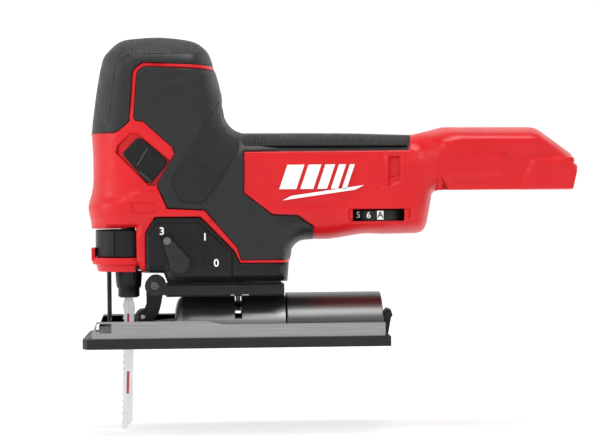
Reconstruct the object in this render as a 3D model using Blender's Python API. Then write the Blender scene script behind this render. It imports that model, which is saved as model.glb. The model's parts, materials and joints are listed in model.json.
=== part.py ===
"""Cordless barrel-grip jigsaw: housing halves, overmoulds, drive train, orbit gear, tilting shoe and blade.

Lengths are in millimetres and each finished mesh is scaled to metres once. +X points to the back of the
tool, +Y to its right side and +Z up. The origin is the centre of the shoe's underside.
"""

import math

import bmesh
import bpy
import numpy as np
from mathutils import Matrix, Vector

MM = 0.001
GAP = 0.3  # clearance between pieces that touch on the real tool
SPLIT = 0.15  # each housing half stops this far from the middle plane

# Driving dimensions
PLUNGER_X = -68.6
STROKE = 25.4
CRANK_THROW = STROKE / 2
GEAR_Z = 73.0
MODULE = 1.0
GEAR_TEETH = 46
PINION_TEETH = 9
MOTOR_Z = GEAR_Z + MODULE * (GEAR_TEETH + PINION_TEETH) / 2 + 0.1
OVERMOULD = 2.2
SHELL_TOP = 3.4
SHELL_INSIDE = 5.8
PAD_FLOOR = 0.5  # the raised red areas stop this far from the middle plane, which leaves a fine seam
GEAR_COVER_LIFT = 2.0
TILT_RADIUS = 30.0
DUST_TUBE_RADIUS = 31.5
SHOE_HALF_WIDTH = 37.5
SHOE_FRONT, SHOE_BACK = -91.0, 89.5
SHOE_OPENING = 16.0
BRACKET_HALF_WIDTH = 13.0
ORBIT_PIVOT = (-35.8, 52.1)
ROLLER_ARM_PIVOT = (-52.0, 37.0)
ROLLER_CENTRE = (-59.9, 17.5)
ROLLER_RADIUS = 5.0
BLADE_LEAN = math.radians(1.6)
SWITCH_RECESS = (-58.2, 117.0)
SWITCH_REST = (-56.6, 115.5)
SWITCH_DIRECTION = Vector((-0.741, 0, 0.671)).normalized()
DIAL_CENTRE = (88.0, -4.0)
DIAL_RADIUS = 20.5

# Half width of the housing along its length, as (x, half width).
WIDTHS = [(-95, 31), (-10, 31), (30, 28.5), (60, 26.5), (108, 26.5), (126, 38), (211, 39)]

# Side silhouette as (x, z, edge radius of the stretch that starts there).
SILHOUETTE = [
    (-90.7, 132.2, 27), (-89.7, 141, 26), (-87.2, 159, 24), (-83.7, 176.6, 20), (-79.7, 183.3, 20),
    (-71.3, 189.9, 20), (-59, 191.6, 20), (-47.8, 192, 20), (-36.7, 191.1, 20), (-26.6, 189.2, 18),
    (-21.1, 186, 17), (-17.2, 181.8, 16), (-14.8, 175.5, 16), (-12.9, 169.9, 16), (-10.6, 161.5, 16),
    (-9, 154, 16), (-9, 148, 18), (-7.9, 142.5, 20), (-4.8, 136.8, 22), (-0.9, 133.5, 22),
    (3.5, 131.8, 22), (40, 131.6, 22), (75, 131.1, 20), (111.2, 130.1, 12), (129.4, 134.6, 9),
    (187, 134.2, 9), (209.9, 117.2, 9), (210.6, 113.8, 7), (206.2, 94.4, 3), (126.2, 94.4, 8),
    (121.9, 92.3, 12), (120, 80, 14), (118.5, 72, 14), (114.6, 67.8, 14), (90, 67.6, 14),
    (77.6, 67.8, 14), (57.3, 64.8, 14), (41.8, 64.4, 10), (36.8, 62.4, 8), (33.8, 58.6, 8),
    (32.4, 52, 6), (31, 38.8, 4), (-44.5, 38.8, 4), (-46.5, 44.6, 5),
    (-59.5, 44.8, 5), (-63.3, 52.8, 5), (-63.5, 72.6, 5),
    (-91.4, 72.8, 27), (-91.7, 77.2, 27), (-93.1, 84.1, 27), (-92.8, 89, 27), (-91, 95.5, 27),
    (-90.1, 101.6, 27), (-90, 118, 27), (-90.5, 130, 27),
]

# Hollow inside the red shell, as (x, z), about SHELL_INSIDE from the silhouette.
CAVITY = [
    (-84.4, 138), (-81.5, 159), (-78.2, 175), (-75.5, 179.8), (-69, 185), (-47, 186.2), (-37, 185.3),
    (-28.5, 183.6), (-24.5, 181), (-21.8, 177.5), (-18.4, 168), (-15, 154.5), (-14.8, 147), (-13.2, 140),
    (-9.5, 133.2), (-3.5, 128.3), (4, 126), (40, 125.8), (112, 124.4), (130, 128.8), (186, 128.4),
    (200.5, 115), (122.5, 114.5), (122.5, 101), (116, 94), (114.2, 80), (112.8, 73.4),
    (77, 73.6), (57, 70.6), (42, 70.2), (34, 68), (28.5, 61.5), (26.6, 53), (25.6, 44.6), (-40, 44.6),
    (-42, 50.4), (-57.6, 50.6), (-57.6, 78.6), (-85.6, 78.6), (-87.2, 84), (-86.8, 90),
    (-84.6, 97), (-84.2, 118),
]

# Seams between the red shell and its black overmoulds, as (x, z) in the side view.
CAP_FRONT_SEAM = [(-90.9, 132), (-74.6, 132.3), (-72.6, 133.2), (-65.6, 139.2)]
ACCENT_OUTER = [(-65.9, 141), (-63.7, 168.2), (-62.3, 171.3), (-57.4, 174.9), (-14.4, 173)]
ACCENT_INNER = [(-13.6, 170.6), (-56.6, 172.4), (-60.2, 169.6), (-61.1, 167.4), (-63.2, 141.2)]
BEZEL_SEAM = [(-62.2, 139.4), (-57.4, 138.7), (-39.9, 123), (-38.4, 118.7), (-48.7, 101.6), (-49.2, 98.6)]
GRIP_SEAM = [(-43.4, 85.1), (-20.5, 83.9), (-0.8, 61.1), (1.8, 53.2), (32.7, 53)]
COVER_SEAM = [(31.6, 51.2), (1.2, 51.5), (-2.7, 59.2), (-23.1, 80.2), (-50.8, 80.3), (-56.8, 70.5)]
BARREL_SEAM = [(47, 65), (46.4, 73.6), (37.3, 80.5), (21.2, 81.2), (3.7, 94.7), (4, 119.8), (105.9, 119.9)]
BARREL_TOP_END = [(108.8, 129.9)]

FINISHES = {  # base colour, roughness, metallic
    "red_plastic": ((0.60, 0.012, 0.016), 0.38, 0.0),
    "black_rubber": ((0.022, 0.022, 0.024), 0.75, 0.0),
    "black_plastic": ((0.018, 0.018, 0.019), 0.5, 0.0),
    "dark_casting": ((0.07, 0.07, 0.072), 0.45, 0.6),
    "silver_metal": ((0.42, 0.42, 0.43), 0.33, 1.0),
    "steel": ((0.5, 0.5, 0.51), 0.28, 1.0),
    "white_steel": ((0.78, 0.79, 0.8), 0.35, 0.2),
    "copper": ((0.62, 0.27, 0.12), 0.35, 1.0),
    "brass": ((0.6, 0.45, 0.2), 0.35, 1.0),
    "green_board": ((0.02, 0.16, 0.05), 0.5, 0.0),
}


def clear_scene():
    for obj in list(bpy.data.objects):
        bpy.data.objects.remove(obj, do_unlink=True)


def finish_material(name, finish):
    colour, roughness, metallic = FINISHES[finish]
    made = bpy.data.materials.new(f"{name}_{finish}")
    made.use_nodes = True
    shader = made.node_tree.nodes["Principled BSDF"]
    shader.inputs["Base Color"].default_value = (*colour, 1)
    shader.inputs["Roughness"].default_value = roughness
    shader.inputs["Metallic"].default_value = metallic
    return made


def make(name, bm, finish, origin=(0, 0, 0), smooth_angle=40):
    """The object of a mesh drawn in millimetres, with its origin at the given point."""
    bmesh.ops.remove_doubles(bm, verts=bm.verts, dist=1e-4)
    bmesh.ops.recalc_face_normals(bm, faces=bm.faces)
    bm.transform(Matrix.Scale(MM, 4) @ Matrix.Translation(-Vector(origin)))
    mesh = bpy.data.meshes.new(name)
    bm.to_mesh(mesh)
    bm.free()
    mesh.shade_smooth()
    mesh.set_sharp_from_angle(angle=math.radians(smooth_angle))
    obj = bpy.data.objects.new(name, mesh)
    bpy.context.scene.collection.objects.link(obj)
    obj.location = Vector(origin) * MM
    obj.data.materials.append(finish_material(name, finish))
    return obj


def helper(name, bm):
    """A cutter or an added shape, which is no piece of the tool by itself."""
    obj = make(name, bm, "steel")
    obj.hide_render = True
    obj.display_type = "WIRE"
    return obj


def combine(obj, operation, bm):
    """A Boolean step. The exact solver leaves open edges on the many-sided shells, which ask for the other."""
    other = helper(f"{obj.name}_{operation.lower()}_{len(obj.modifiers)}", bm)
    step = obj.modifiers.new(other.name, "BOOLEAN")
    step.operation = operation
    step.solver = obj.get("solver", "EXACT")
    step.object = other


def cut(obj, bm):
    combine(obj, "DIFFERENCE", bm)


def join(obj, bm):
    combine(obj, "UNION", bm)


def box(low, high):
    bm = bmesh.new()
    bmesh.ops.create_cube(bm, size=1)
    low, high = Vector(low), Vector(high)
    bmesh.ops.scale(bm, vec=high - low, verts=bm.verts)
    bmesh.ops.translate(bm, vec=(low + high) / 2, verts=bm.verts)
    return bm


def prism(outline, start, end, axis="y"):
    """A flat outline pushed along an axis. The outline is (x, z) along y, (y, z) along x, (x, y) along z."""
    place = {
        "y": lambda a, b, t: (a, t, b),
        "x": lambda a, b, t: (t, a, b),
        "z": lambda a, b, t: (a, b, t),
    }[axis]
    bm = bmesh.new()
    face = bm.faces.new([bm.verts.new(place(a, b, start)) for a, b in outline])
    pushed = bmesh.ops.extrude_face_region(bm, geom=[face])
    moved = [v for v in pushed["geom"] if isinstance(v, bmesh.types.BMVert)]
    bmesh.ops.translate(bm, verts=moved, vec=Vector(place(0, 0, end)) - Vector(place(0, 0, start)))
    return bm


def turned(profile, centre, axis="x", steps=24):
    """A closed profile of (place along the axis, radius) spun once round it. The centre is where it starts."""
    along = {"x": Vector((1, 0, 0)), "y": Vector((0, 1, 0)), "z": Vector((0, 0, 1))}[axis]
    out = {"x": Vector((0, 0, 1)), "y": Vector((1, 0, 0)), "z": Vector((1, 0, 0))}[axis]
    centre = Vector(centre)
    bm = bmesh.new()
    points = [bm.verts.new(centre + along * t + out * r) for t, r in profile]
    edges = [bm.edges.new((points[i - 1], points[i])) for i in range(len(points))]
    bmesh.ops.spin(
        bm, geom=points + edges, cent=centre, axis=along, dvec=(0, 0, 0),
        angle=math.tau, steps=steps, use_merge=True,
    )
    bmesh.ops.remove_doubles(bm, verts=bm.verts, dist=1e-4)
    loose = [e for e in bm.edges if not e.link_faces]
    bmesh.ops.delete(bm, geom=loose, context="EDGES")
    return bm


def rod(centre, start, end, radius, axis="x", steps=20):
    return turned([(start, 0), (start, radius), (end, radius), (end, 0)], centre, axis, steps)


def tube(centre, start, end, inner, outer, axis="x", steps=24):
    return turned([(start, inner), (start, outer), (end, outer), (end, inner)], centre, axis, steps)


def disc_points(centre, radius, count=20, start=0.0, sweep=math.tau):
    turns = [start + sweep * i / (count if sweep == math.tau else count - 1) for i in range(count)]
    return [(centre[0] + radius * math.cos(t), centre[1] + radius * math.sin(t)) for t in turns]


def gear_outline(centre, teeth, module=MODULE):
    pitch = module * teeth / 2
    points = []
    for tooth in range(teeth):
        for share, height in ((-0.28, -1.1), (-0.14, 0.85), (0.14, 0.85), (0.28, -1.1)):
            angle = math.tau * (tooth + share) / teeth
            radius = pitch + height * module
            points.append((centre[0] + radius * math.cos(angle), centre[1] + radius * math.sin(angle)))
    return points


def half_width(x, z, depth, lift=0.0):
    """How far the surface lies from the middle plane, `depth` millimetres under the tool's skin."""
    corners = np.array(SILHOUETTE, float)
    start = corners[:, :2]
    along = np.roll(start, -1, axis=0) - start
    reach = ((x, z) - start) * along
    share = np.clip(reach.sum(axis=1) / (along**2).sum(axis=1), 0, 1)
    distance = np.linalg.norm(start + along * share[:, None] - (x, z), axis=1)
    rise = np.clip((distance - depth) / (corners[:, 2] - depth).clip(0.5), 0, 1).min()
    stations, widths = zip(*WIDTHS)
    width = float(np.interp(x, stations, widths)) + lift - depth
    return width * math.sqrt(1 - (1 - rise) ** 2)


def panel(outline, side, depth, shrink=0.0, rings=(), step=12.0, lift=0.0, floor=SPLIT):
    """A solid under part of the side view, from `depth` under the tool's skin to the plane y = side * floor."""
    bm = bmesh.new()
    face = bm.faces.new([bm.verts.new((x, 0, z)) for x, z in outline])
    if shrink:
        rim = bmesh.ops.inset_region(
            bm, faces=[face], thickness=shrink, use_boundary=True, use_even_offset=True
        )
        bmesh.ops.delete(bm, geom=rim["faces"], context="FACES")
    for ring in rings:
        bmesh.ops.inset_region(bm, faces=[face], thickness=ring, use_boundary=True, use_even_offset=True)
    for axis in (0, 2):
        low = min(v.co[axis] for v in bm.verts)
        high = max(v.co[axis] for v in bm.verts)
        normal = (1, 0, 0) if axis == 0 else (0, 0, 1)
        for line in range(math.ceil(low / step), math.ceil(high / step)):
            place = Vector(normal) * line * step
            geom = bm.verts[:] + bm.edges[:] + bm.faces[:]
            bmesh.ops.bisect_plane(bm, geom=geom, dist=1e-3, plane_co=place, plane_no=normal)
    bmesh.ops.triangulate(bm, faces=bm.faces, quad_method="SHORT_EDGE")
    under = bm.verts[:]
    pushed = bmesh.ops.extrude_face_region(bm, geom=bm.faces[:], use_keep_orig=True)
    top = [v for v in pushed["geom"] if isinstance(v, bmesh.types.BMVert)]
    for vertex in under:
        vertex.co.y = side * floor
    for vertex in top:
        height = half_width(vertex.co.x, vertex.co.z, depth, lift)
        vertex.co.y = side * max(SPLIT + 1.2, height)
    return bm


def silhouette_between(first, last):
    """The silhouette's own corners from one to another, in its order."""
    count = len(SILHOUETTE)
    span = (last - first) % count
    return [SILHOUETTE[(first + i) % count][:2] for i in range(span + 1)]


HEAD_FRONT, HEAD_BACK = 0, 12
GRIP_TOP_START, BARREL_TOP_BACK = 13, 22
REAR_START, BARREL_LOW_FRONT = 24, 36
GRIP_LOW_START, GRIP_LOW_END = 37, 39
COVER_LOW_START, COVER_LOW_END = 41, 43
NOSE_LOW_START, NOSE_TOP = 44, 54


def head_cap_outline():
    return silhouette_between(HEAD_FRONT, HEAD_BACK) + ACCENT_OUTER[::-1] + CAP_FRONT_SEAM[::-1][:-1]


def main_grip_outline():
    top = silhouette_between(GRIP_TOP_START, BARREL_TOP_BACK)
    low = silhouette_between(GRIP_LOW_START, GRIP_LOW_END)
    front = GRIP_SEAM[::-1] + BEZEL_SEAM[::-1] + ACCENT_INNER[:0:-1]
    return top + BARREL_TOP_END + BARREL_SEAM[::-1] + low + front


def gear_cover_outline():
    return COVER_SEAM + [(-56.8, 44.8)] + silhouette_between(COVER_LOW_START, COVER_LOW_END)[::-1]


def nose_outline():
    front = silhouette_between(NOSE_LOW_START, NOSE_TOP)
    cover = COVER_SEAM + [(-56.8, 44.8)]
    return front + CAP_FRONT_SEAM + ACCENT_OUTER + ACCENT_INNER + BEZEL_SEAM + GRIP_SEAM + cover


def barrel_outline():
    rear = silhouette_between(REAR_START, BARREL_LOW_FRONT)
    return rear + BARREL_SEAM + BARREL_TOP_END + [(111.2, 130.1)]


def flat_box(low, high, side):
    """A box given for the right half, mirrored in y for the left one."""
    (x0, y0, z0), (x1, y1, z1) = low, high
    return box((x0, min(side * y0, side * y1), z0), (x1, max(side * y0, side * y1), z1))


def slanted(outline_centre, length, width, start, end, direction=SWITCH_DIRECTION):
    """A rectangular prism along y, its long side along `direction` in the side view."""
    across = Vector((-direction.z, 0, direction.x))
    centre = Vector((outline_centre[0], 0, outline_centre[1]))
    signs = ((-1, -1), (1, -1), (1, 1), (-1, 1))
    corners = [centre + direction * a * length / 2 + across * b * width / 2 for a, b in signs]
    return prism([(c.x, c.z) for c in corners], start, end)


def shell_skin(side, depth, floor):
    """The whole side view, solid from the given depth under the skin to near the middle plane."""
    whole = [corner[:2] for corner in SILHOUETTE]
    return panel(whole, side, depth, depth, (1.0, 1.4), 12, floor=floor)


SCREW_PLACES = [(-80.5, 118), (-32, 162), (14, 60), (57, 73.5), (113, 120), (186, 123.5)]
GEAR_CLEARANCE = ((-53.2, -1, 48.4), (-42.8, 12, 60))
BOSS_RADIUS, SCREW_HOLE, SCREW_SHANK, SCREW_HEAD = 3.6, 1.9, 1.5, 3.2


def housing_half(name, side):
    """Red shell: a base under the overmoulds and two raised areas that show."""
    half = make(name, shell_skin(side, SHELL_TOP, SPLIT), "red_plastic")
    half["solver"] = "MANIFOLD"
    for outline, rings in ((nose_outline(), (0.4,)), (barrel_outline(), (0.8, 2.0))):
        join(half, panel(outline, side, 0, SPLIT, rings, 15, floor=PAD_FLOOR))
    cut(half, panel(CAVITY, side, SHELL_INSIDE, 0, (0.9, 2.0), 12, floor=-1))
    for x, z in SCREW_PLACES:
        wall = side * (half_width(x, z, SHELL_INSIDE) + 0.5)
        join(half, rod((x, 0, z), side * SPLIT, wall, BOSS_RADIUS, "y", 12))
    # ceiling, front wall and rail of the battery bay
    join(half, flat_box((122.5, SPLIT, 112), (207, 36.5, 114.5), side))
    join(half, flat_box((122.5, SPLIT, 92), (125, 36, 113), side))
    cut(half, flat_box((125, -1, 85), (230, 33.6, 112), side))
    join(half, flat_box((136, 30.6, 96.6), (206, 35, 99.8), side))
    # way through for the plunger, the clamp and the yoke
    cut(half, rod((PLUNGER_X, 0, 0), 60, 95, 14, "z", 20))
    cut(half, flat_box((PLUNGER_X, -1, 46.5), (-53, 22.8, 94), side))
    cut(half, flat_box(*GEAR_CLEARANCE, side))
    # switch recess with the slot for its link
    cut(half, slanted(SWITCH_RECESS, 30.6, 18.4, side * 27.2, side * 45))
    cut(half, slanted(SWITCH_RECESS, 13, 8.4, side * 20, side * 45))
    cut(half, rod((*DIAL_CENTRE, 0), 75.9, 83.8, DIAL_RADIUS + 0.6, "z", 32))
    cut(half, flat_box((94, 17, 103), (99.8, 40, 116), side))
    if side < 0:
        cut(half, box((68, -40, 73.8), (108, -25.5, 85)))
        cut(half, box((71, -40, 76), (104.5, -12, 83.6)))
        cut(half, rod((ORBIT_PIVOT[0], 0, ORBIT_PIVOT[1]), -45, -20, 4.0, "y", 16))
    for x, z in SCREW_PLACES:
        if side > 0:
            cut(half, rod((x, 0, z), -1, 45, SCREW_HOLE, "y", 10))
            cut(half, rod((x, 0, z), half_width(x, z, SHELL_INSIDE) - 2, 45, SCREW_HEAD + 0.3, "y", 12))
        else:
            cut(half, rod((x, 0, z), 1, -9, SCREW_HOLE, "y", 10))
    return half


def overmould(name, outline, side, finish, lift=0.0):
    """A black moulding over the red shell, hollowed to sit just clear of it."""
    moulding = make(name, panel(outline, side, 0, SPLIT, (0.8, 1.8), 10, lift), finish)
    moulding["solver"] = "MANIFOLD"
    cut(moulding, shell_skin(side, OVERMOULD, -1))
    return moulding


def overmoulds():
    for word, side in (("left", -1), ("right", 1)):
        overmould(f"head_cap_{word}", head_cap_outline(), side, "black_rubber")
        grip = overmould(f"main_grip_{word}", main_grip_outline(), side, "black_rubber")
        shape = gear_cover_outline()
        cover = overmould(f"gear_cover_{word}", shape, side, "black_plastic", GEAR_COVER_LIFT)
        cut(cover, flat_box(*GEAR_CLEARANCE, side))
        if side < 0:
            pivot = (ORBIT_PIVOT[0], 0, ORBIT_PIVOT[1])
            cut(cover, rod(pivot, -45, -31.6, 20.2, "y", 28))
            cut(cover, rod(pivot, -45, -20, 4.0, "y", 16))
        else:
            for piece, (x, z) in ((grip, SCREW_PLACES[1]), (cover, SCREW_PLACES[2])):
                cut(piece, rod((x, 0, z), 5, 45, SCREW_HEAD + 0.3, "y", 12))


def housing_screws():
    for number, (x, z) in enumerate(SCREW_PLACES, 1):
        seat = half_width(x, z, SHELL_INSIDE) - 2 + GAP
        top = seat + 2.2
        profile = [(-7, 0), (-7, SCREW_SHANK), (seat, SCREW_SHANK)]
        profile += [(seat, SCREW_HEAD), (top, SCREW_HEAD), (top, 0)]
        screw = make(f"housing_screw_{number}", turned(profile, (x, 0, z), "y", 12), "steel")
        cut(screw, prism(disc_points((x, z), 1.3, 6), seat + 0.9, seat + 3))


def nose_parts():
    axis = (PLUNGER_X, 0, 0)
    profile = [(46.2, 13.5), (46.2, 19.2), (50.2, 20.3), (51, 22.7), (55, 22.7), (55, 13.5)]
    ring = make("nose_ring", turned(profile, axis, "z", 32), "red_plastic")
    join(ring, box((-91.3, -8, 53), (-89.0, 8, 61)))
    cut(ring, box((-63.5, -19.4, 40), (-40, 19.4, 60)))
    cut(ring, box((-58.5, -30, 40), (-40, 30, 60)))
    guide = make("nose_guide", tube(axis, 55.3, 72.2, 13.5, 17.6, "z", 28), "dark_casting")
    cut(guide, box((-66, -20, 50), (-40, 20, 80)))
    wire_guard()


def wire_guard():
    """One bent steel wire: two legs down from the nose ring, joined across under the blade clamp."""
    bend, spread, foot, top, x = 3.0, 7.0, 15.0, 45.9, -80.8
    curve = bpy.data.curves.new("wire_guard", "CURVE")
    curve.dimensions = "3D"
    curve.bevel_depth = 1.0 * MM
    curve.bevel_resolution = 2
    curve.use_fill_caps = True
    route = [(-spread, top), (-spread, 30)]
    route += disc_points((-spread + bend, foot + bend), bend, 6, math.pi, math.pi / 2)
    route += disc_points((spread - bend, foot + bend), bend, 6, -math.pi / 2, math.pi / 2)
    route += [(spread, 30), (spread, top)]
    spline = curve.splines.new("POLY")
    spline.points.add(len(route) - 1)
    for point, (y, z) in zip(spline.points, route):
        point.co = (x * MM, y * MM, z * MM, 1)
    guard = bpy.data.objects.new("wire_guard", curve)
    bpy.context.scene.collection.objects.link(guard)
    guard.data.materials.append(finish_material("wire_guard", "black_plastic"))


def release_lever():
    start, end, inner, outer = math.radians(120), math.radians(283), 18.4, 20.4
    outline = disc_points((PLUNGER_X, 0), outer, 22, start, end - start)
    outline += disc_points((PLUNGER_X, 0), inner, 22, end, start - end)
    lever = make("release_lever", prism(outline, 55.4, 72, "z"), "black_plastic", (PLUNGER_X, 0, 60))
    rib = [
        (PLUNGER_X + r * math.cos(t), r * math.sin(t))
        for r, t in ((19.4, 4.32), (21.6, 4.34), (21.6, 4.42), (19.4, 4.44))
    ]
    join(lever, prism(rib, 55.4, 71, "z"))


def plunger_parts():
    axis = (PLUNGER_X, 0, 0)
    bar = make("plunger", rod(axis, 46.2, 152, 4.5, "z", 20), "steel", (PLUNGER_X, 0, 60))
    yoke_z = GEAR_Z - CRANK_THROW
    join(bar, box((-67, -3.6, yoke_z - 4.1), (-60, 3.6, yoke_z + 4.1)))
    join(bar, box((-62.5, -18.9, yoke_z - 7.5), (-57.5, 18.9, yoke_z + 7.5)))
    cut(bar, box((-59.5, -17.2, yoke_z - 4.4), (-57, 17.2, yoke_z + 4.4)))

    core_profile = [(29.6, 0), (29.6, 5.9), (52, 5.9), (52, 4.8), (45.9, 4.8), (45.9, 0)]
    core = make("blade_clamp", turned(core_profile, axis, "z", 20), "steel", (PLUNGER_X, 0, 40))
    cut(core, box((-71.9, -1.05, 20), (-65.6, 1.05, 44.6)))
    cut(core, rod((PLUNGER_X, 0, 38), 0.9, 8, 2.1, "y", 12))
    make("clamp_pin", rod((PLUNGER_X, 0, 38), 1.1, 5.7, 1.7, "y", 12), "steel")

    collar_profile = [(30.2, 6.2), (30.2, 6.7), (35, 6.7), (36.4, 7.7), (41.5, 8.2), (46, 8.5), (46, 6.2)]
    collar = make("clamp_collar", turned(collar_profile, axis, "z", 24), "black_plastic", (PLUNGER_X, 0, 38))
    for turn in range(6):
        middle = Vector(axis) + Matrix.Rotation(math.tau * turn / 6, 3, "Z") @ Vector((8.9, 0, 0))
        cut(collar, rod(middle, 35, 47, 1.1, "z", 8))
    make("clamp_spring", coil(axis, 46.9, 51.3, 7.2, 0.6, 3.5), "steel")
    blade()


def coil(axis, low, high, radius, wire, turns, around=12, sides=5):
    bm = bmesh.new()
    ring = [
        bm.verts.new((axis[0] + radius + wire * math.cos(t), axis[1], low + wire * math.sin(t)))
        for t in (math.tau * i / sides for i in range(sides))
    ]
    face = bm.faces.new(ring)
    steps = round(turns * around)
    rise = (0, 0, (high - low) / steps)
    spun = bmesh.ops.spin(
        bm, geom=[face], cent=axis, axis=(0, 0, 1), dvec=rise, angle=math.tau * turns, steps=steps
    )
    last = [g for g in spun["geom_last"] if isinstance(g, bmesh.types.BMVert)]
    if not any(f.is_valid and set(f.verts) == set(ring) for f in bm.faces):
        bm.faces.new(ring)
    if not any(set(f.verts) == set(last) for f in bm.faces):
        bm.faces.new(last)
    return bm


def blade():
    """A tang, two lugs and a toothed body that leans forwards a little towards its tip."""
    neck, tooth, foot = 28.6, 4.0, -49.0
    outline = [(-66.2, neck), (-66.0, 44.2), (-71.4, 44.2), (-71.4, neck), (-72.8, 24.6), (-71.9, 21)]
    front = lambda z: -72.1 - math.tan(BLADE_LEAN) * (19 - z)
    z = 17.0
    while z > foot + tooth:
        outline += [(front(z), z), (front(z) - 0.5, z - tooth * 0.25), (front(z) + 0.6, z - tooth * 0.4)]
        z -= tooth
    outline += [(front(foot), foot), (-73.6, -53.2), (-71.6, -53.2)]
    outline += [(-67.2, -47.9), (-65.3, 19), (-65.0, 23.4)]
    bm = prism(outline, -0.7, 0.7)
    make("blade", bm, "white_steel", (PLUNGER_X, 0, 30))


def gear_train():
    gear_axis = (0, 0, GEAR_Z)
    pin = (0, 0, GEAR_Z - CRANK_THROW)
    outline = gear_outline((0, GEAR_Z), GEAR_TEETH)
    gear = make("drive_gear", prism(outline, -52, -44, "x"), "steel", (-48, 0, GEAR_Z))
    cut(gear, rod(gear_axis, -60, -40, 5.3, "x", 20))
    cut(gear, rod(pin, -60, -46, 3.1, "x", 14))
    for turn in (0.25, 0.5, 0.75):
        place = Vector(gear_axis) + Matrix.Rotation(math.tau * turn, 3, "X") @ Vector((0, 0, -13.6))
        cut(gear, rod(place, -60, -40, 4.6, "x", 16))
    make("gear_shaft", rod(gear_axis, -51.8, -30, 5.0), "steel", (-40, 0, GEAR_Z))
    make("crank_pin", rod(pin, -57.1, -46.3, 2.8, "x", 14), "steel", (-50, 0, GEAR_Z))
    make("gear_bearing", tube(gear_axis, -40, -34, 5.3, 10), "steel")

    motor = (0, 0, MOTOR_Z)
    teeth = prism(gear_outline((0, MOTOR_Z), PINION_TEETH), -52.5, -43.5, "x")
    pinion = make("motor_pinion", teeth, "steel", (-48, 0, MOTOR_Z))
    pinion.data.transform(Matrix.Rotation(-math.pi / 2 / PINION_TEETH, 4, "X"))  # a tooth meets the gap below
    cut(pinion, rod(motor, -60, -40, 2.8, "x", 14))
    make("motor_shaft", rod(motor, -52.3, 41, 2.5, "x", 16), "steel", (0, 0, MOTOR_Z))
    make("rotor_core", tube(motor, -24, 19, 2.8, 12.3), "steel", (0, 0, MOTOR_Z))
    fan_disc = make("cooling_fan", tube(motor, 23.5, 26, 2.8, 19.5), "black_plastic", (25, 0, MOTOR_Z))
    for blade_number in range(9):
        vane = box((25.5, 7, MOTOR_Z - 0.7), (31, 19, MOTOR_Z + 0.7))
        turn = Matrix.Rotation(math.tau * blade_number / 9, 3, "X")
        bmesh.ops.rotate(vane, cent=motor, matrix=turn, verts=vane.verts)
        join(fan_disc, vane)
    make("stator", tube(motor, -25, 20, 13, 21.4, "x", 28), "dark_casting")
    make("stator_winding_front", tube(motor, -30, -25.3, 13.5, 20.5), "copper")
    make("stator_winding_rear", tube(motor, 20.3, 22.9, 13.5, 20), "copper")
    make("motor_bearing_front", tube(motor, -40, -34, 2.8, 7.7), "steel")
    make("motor_bearing_rear", tube(motor, 33.5, 39.5, 2.8, 8), "steel")

    frame = make("gear_case", box((-41, -20, 57), (-33, 20, 113)), "silver_metal")
    cut(frame, rod(gear_axis, -45, -30, 10.3))
    cut(frame, rod(motor, -45, -30, 8.0))
    axis = (PLUNGER_X, 0, 0)
    make("plunger_bush_lower", tube(axis, 95, 103, 4.8, 9, "z"), "brass")
    make("plunger_bush_upper", tube(axis, 140, 148, 4.8, 9, "z"), "brass")


def orbit_parts():
    x, z = ORBIT_PIVOT
    origin = (x, 0, z)
    shaft = make("orbit_cam_shaft", rod(origin, -32.8, 19, 3.5, "y", 16), "steel", origin)
    cut(shaft, box((x - 6, -8, z + 1.4), (x + 6, 8, z + 6)))
    tip = math.radians(119)
    tip_place = (x + 15.5 * math.cos(tip), z + 15.5 * math.sin(tip))
    outline = disc_points((x, z), 6.4, 16, tip + math.pi / 2, math.pi)
    outline += disc_points(tip_place, 2.9, 8, tip - math.pi / 2, math.pi)
    lever = make("orbit_lever", prism(outline, -37.6, -33.1), "black_plastic", origin)
    add_bevel(lever, 0.8)


def add_bevel(obj, width, segments=2):
    step = obj.modifiers.new("edge_rounding", "BEVEL")
    step.width = width * MM
    step.segments = segments
    step.limit_method = "ANGLE"
    step.angle_limit = math.radians(50)


def roller_parts():
    x, z = ROLLER_ARM_PIVOT
    arm_outline = [
        (-57.6, 36), (-57.5, 26), (-58.8, 22.6), (-62.4, 20), (-62.6, 15.5), (-59.5, 13.4),
        (-54.2, 13.4), (-50.2, 19), (-48.5, 25), (-46.6, 36),
    ]
    arm = make("roller_arm", prism(arm_outline, -6.5, 6.5), "black_plastic", (x, 0, z))
    join(arm, rod((x, 0, z), -8.6, 8.6, 5.6, "y", 20))
    cut(arm, rod((x, 0, z), -12, 12, 3.1, "y", 16))
    cut(arm, box((-68, -3.9, 5), (ROLLER_CENTRE[0] + ROLLER_RADIUS + 0.5, 3.9, 23.2)))
    centre = (ROLLER_CENTRE[0], 0, ROLLER_CENTRE[1])
    cut(arm, rod(centre, -12, 12, 1.7, "y", 12))
    groove = [(-3.5, 1.7), (-3.5, 5.0), (-0.9, 5.0), (-0.9, 4.1)]
    groove += [(0.9, 4.1), (0.9, 5.0), (3.5, 5.0), (3.5, 1.7)]
    make("guide_roller", turned(groove, centre, "y", 24), "steel", centre)
    make("roller_pin", rod(centre, -6.4, 6.4, 1.4, "y", 12), "steel", centre)
    make("roller_arm_pin", rod((x, 0, z), -12.8, 12.8, 2.6, "y", 16), "steel")


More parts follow.
